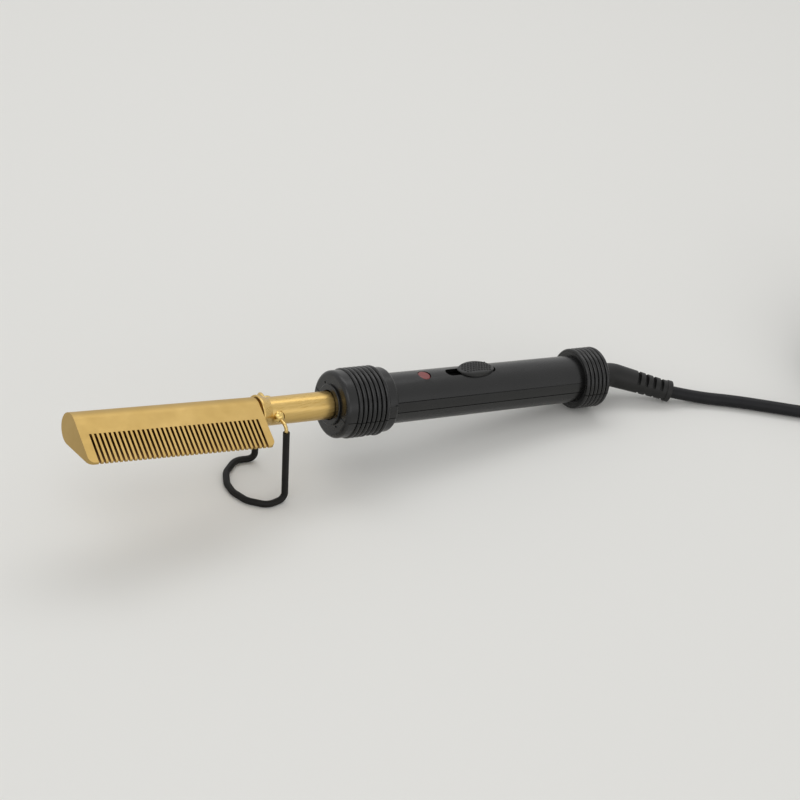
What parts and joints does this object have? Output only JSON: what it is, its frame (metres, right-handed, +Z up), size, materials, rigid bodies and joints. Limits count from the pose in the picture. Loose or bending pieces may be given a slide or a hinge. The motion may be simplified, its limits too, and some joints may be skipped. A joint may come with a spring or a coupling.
{
  "type": "hot comb",
  "caption": "Electric hot comb: a brass comb on a tube, a ribbed handle with lamp and slide switch, a folding wire stand and a coiled mains lead with plug.",
  "frame": {"origin": "middle of the footprint of the comb, handle, stand and strain relief, on the surface that it stands on", "axes": "+X rearward, from the comb to the lead, level with the surface; +Y away from the teeth; +Z up"},
  "size_m": [0.5276, 0.1185, 0.0705],
  "materials": {
    "satin_brass": "satin, die cast and blasted",
    "drawn_brass": "satin drawn tube",
    "polished_brass": "polished",
    "spring_steel": "brass-washed wire",
    "zinc_steel": "zinc plated",
    "black_polypropylene": "moulded, satin gloss",
    "black_grip_plastic": "moulded, matt",
    "red_acrylic": "moulded, clear red",
    "silicone_sleeve": "matt",
    "pvc_black": "matt",
    "plug_plastic": "moulded, fine texture",
    "ceramic_white": "fired ceramic",
    "mica": "wound mica",
    "fibreglass_board": "solder-masked board",
    "lamp_glass": "clear",
    "nylon_white": "moulded nylon",
    "hook_strap": "woven strap"
  },
  "bodies": {
    "handle": {"comb_head": "satin_brass", "heater_element": "ceramic_white", "heater_insulation": "mica", "heater_leads": "silicone_sleeve", "barrel_tube": "drawn_brass", "barrel_flange": "zinc_steel", "upper_shell": "black_polypropylene", "lower_shell": "black_polypropylene", "shell_screws": "zinc_steel", "circuit_board": "fibreglass_board", "lamp_lens": "red_acrylic", "neon_lamp": "lamp_glass", "lamp_resistor": "ceramic_white", "thermal_fuse": "zinc_steel", "switch_body": "plug_plastic", "stand_eyelets": "polished_brass", "swivel_bush": "plug_plastic", "contact_block": "nylon_white"},
    "stand": {"stand_wire": "spring_steel", "stand_sleeve": "silicone_sleeve"},
    "switch": {"switch_knob": "black_grip_plastic", "switch_carriage": "plug_plastic"},
    "lead": {"strain_relief": "pvc_black", "swivel_contact": "polished_brass", "mains_cord": "pvc_black", "cord_coil": "pvc_black", "coil_tie": "hook_strap", "cord_tail": "pvc_black", "plug_cover": "plug_plastic", "plug_plate": "plug_plastic", "plug_pins": "polished_brass", "fuse_holder": "plug_plastic", "cartridge_fuse": "ceramic_white"}
  },
  "joints": [
    {"name": "stand_fold", "type": "hinge", "parent": "handle", "child": "stand", "pos_m": [-0.06475, 0.00279, 0.04554], "axis": [0, 1, 0], "range_deg": [-45, 55]},
    {"name": "switch_slide", "type": "slide", "parent": "handle", "child": "switch", "axis": [-0.989, 0, 0.148], "range_m": [0, 0.006]},
    {"name": "lead_swivel", "type": "hinge", "parent": "handle", "child": "lead", "pos_m": [0.12974, 0.00279, 0.01544], "axis": [0.989, 0, -0.148], "continuous": true}
  ]
}
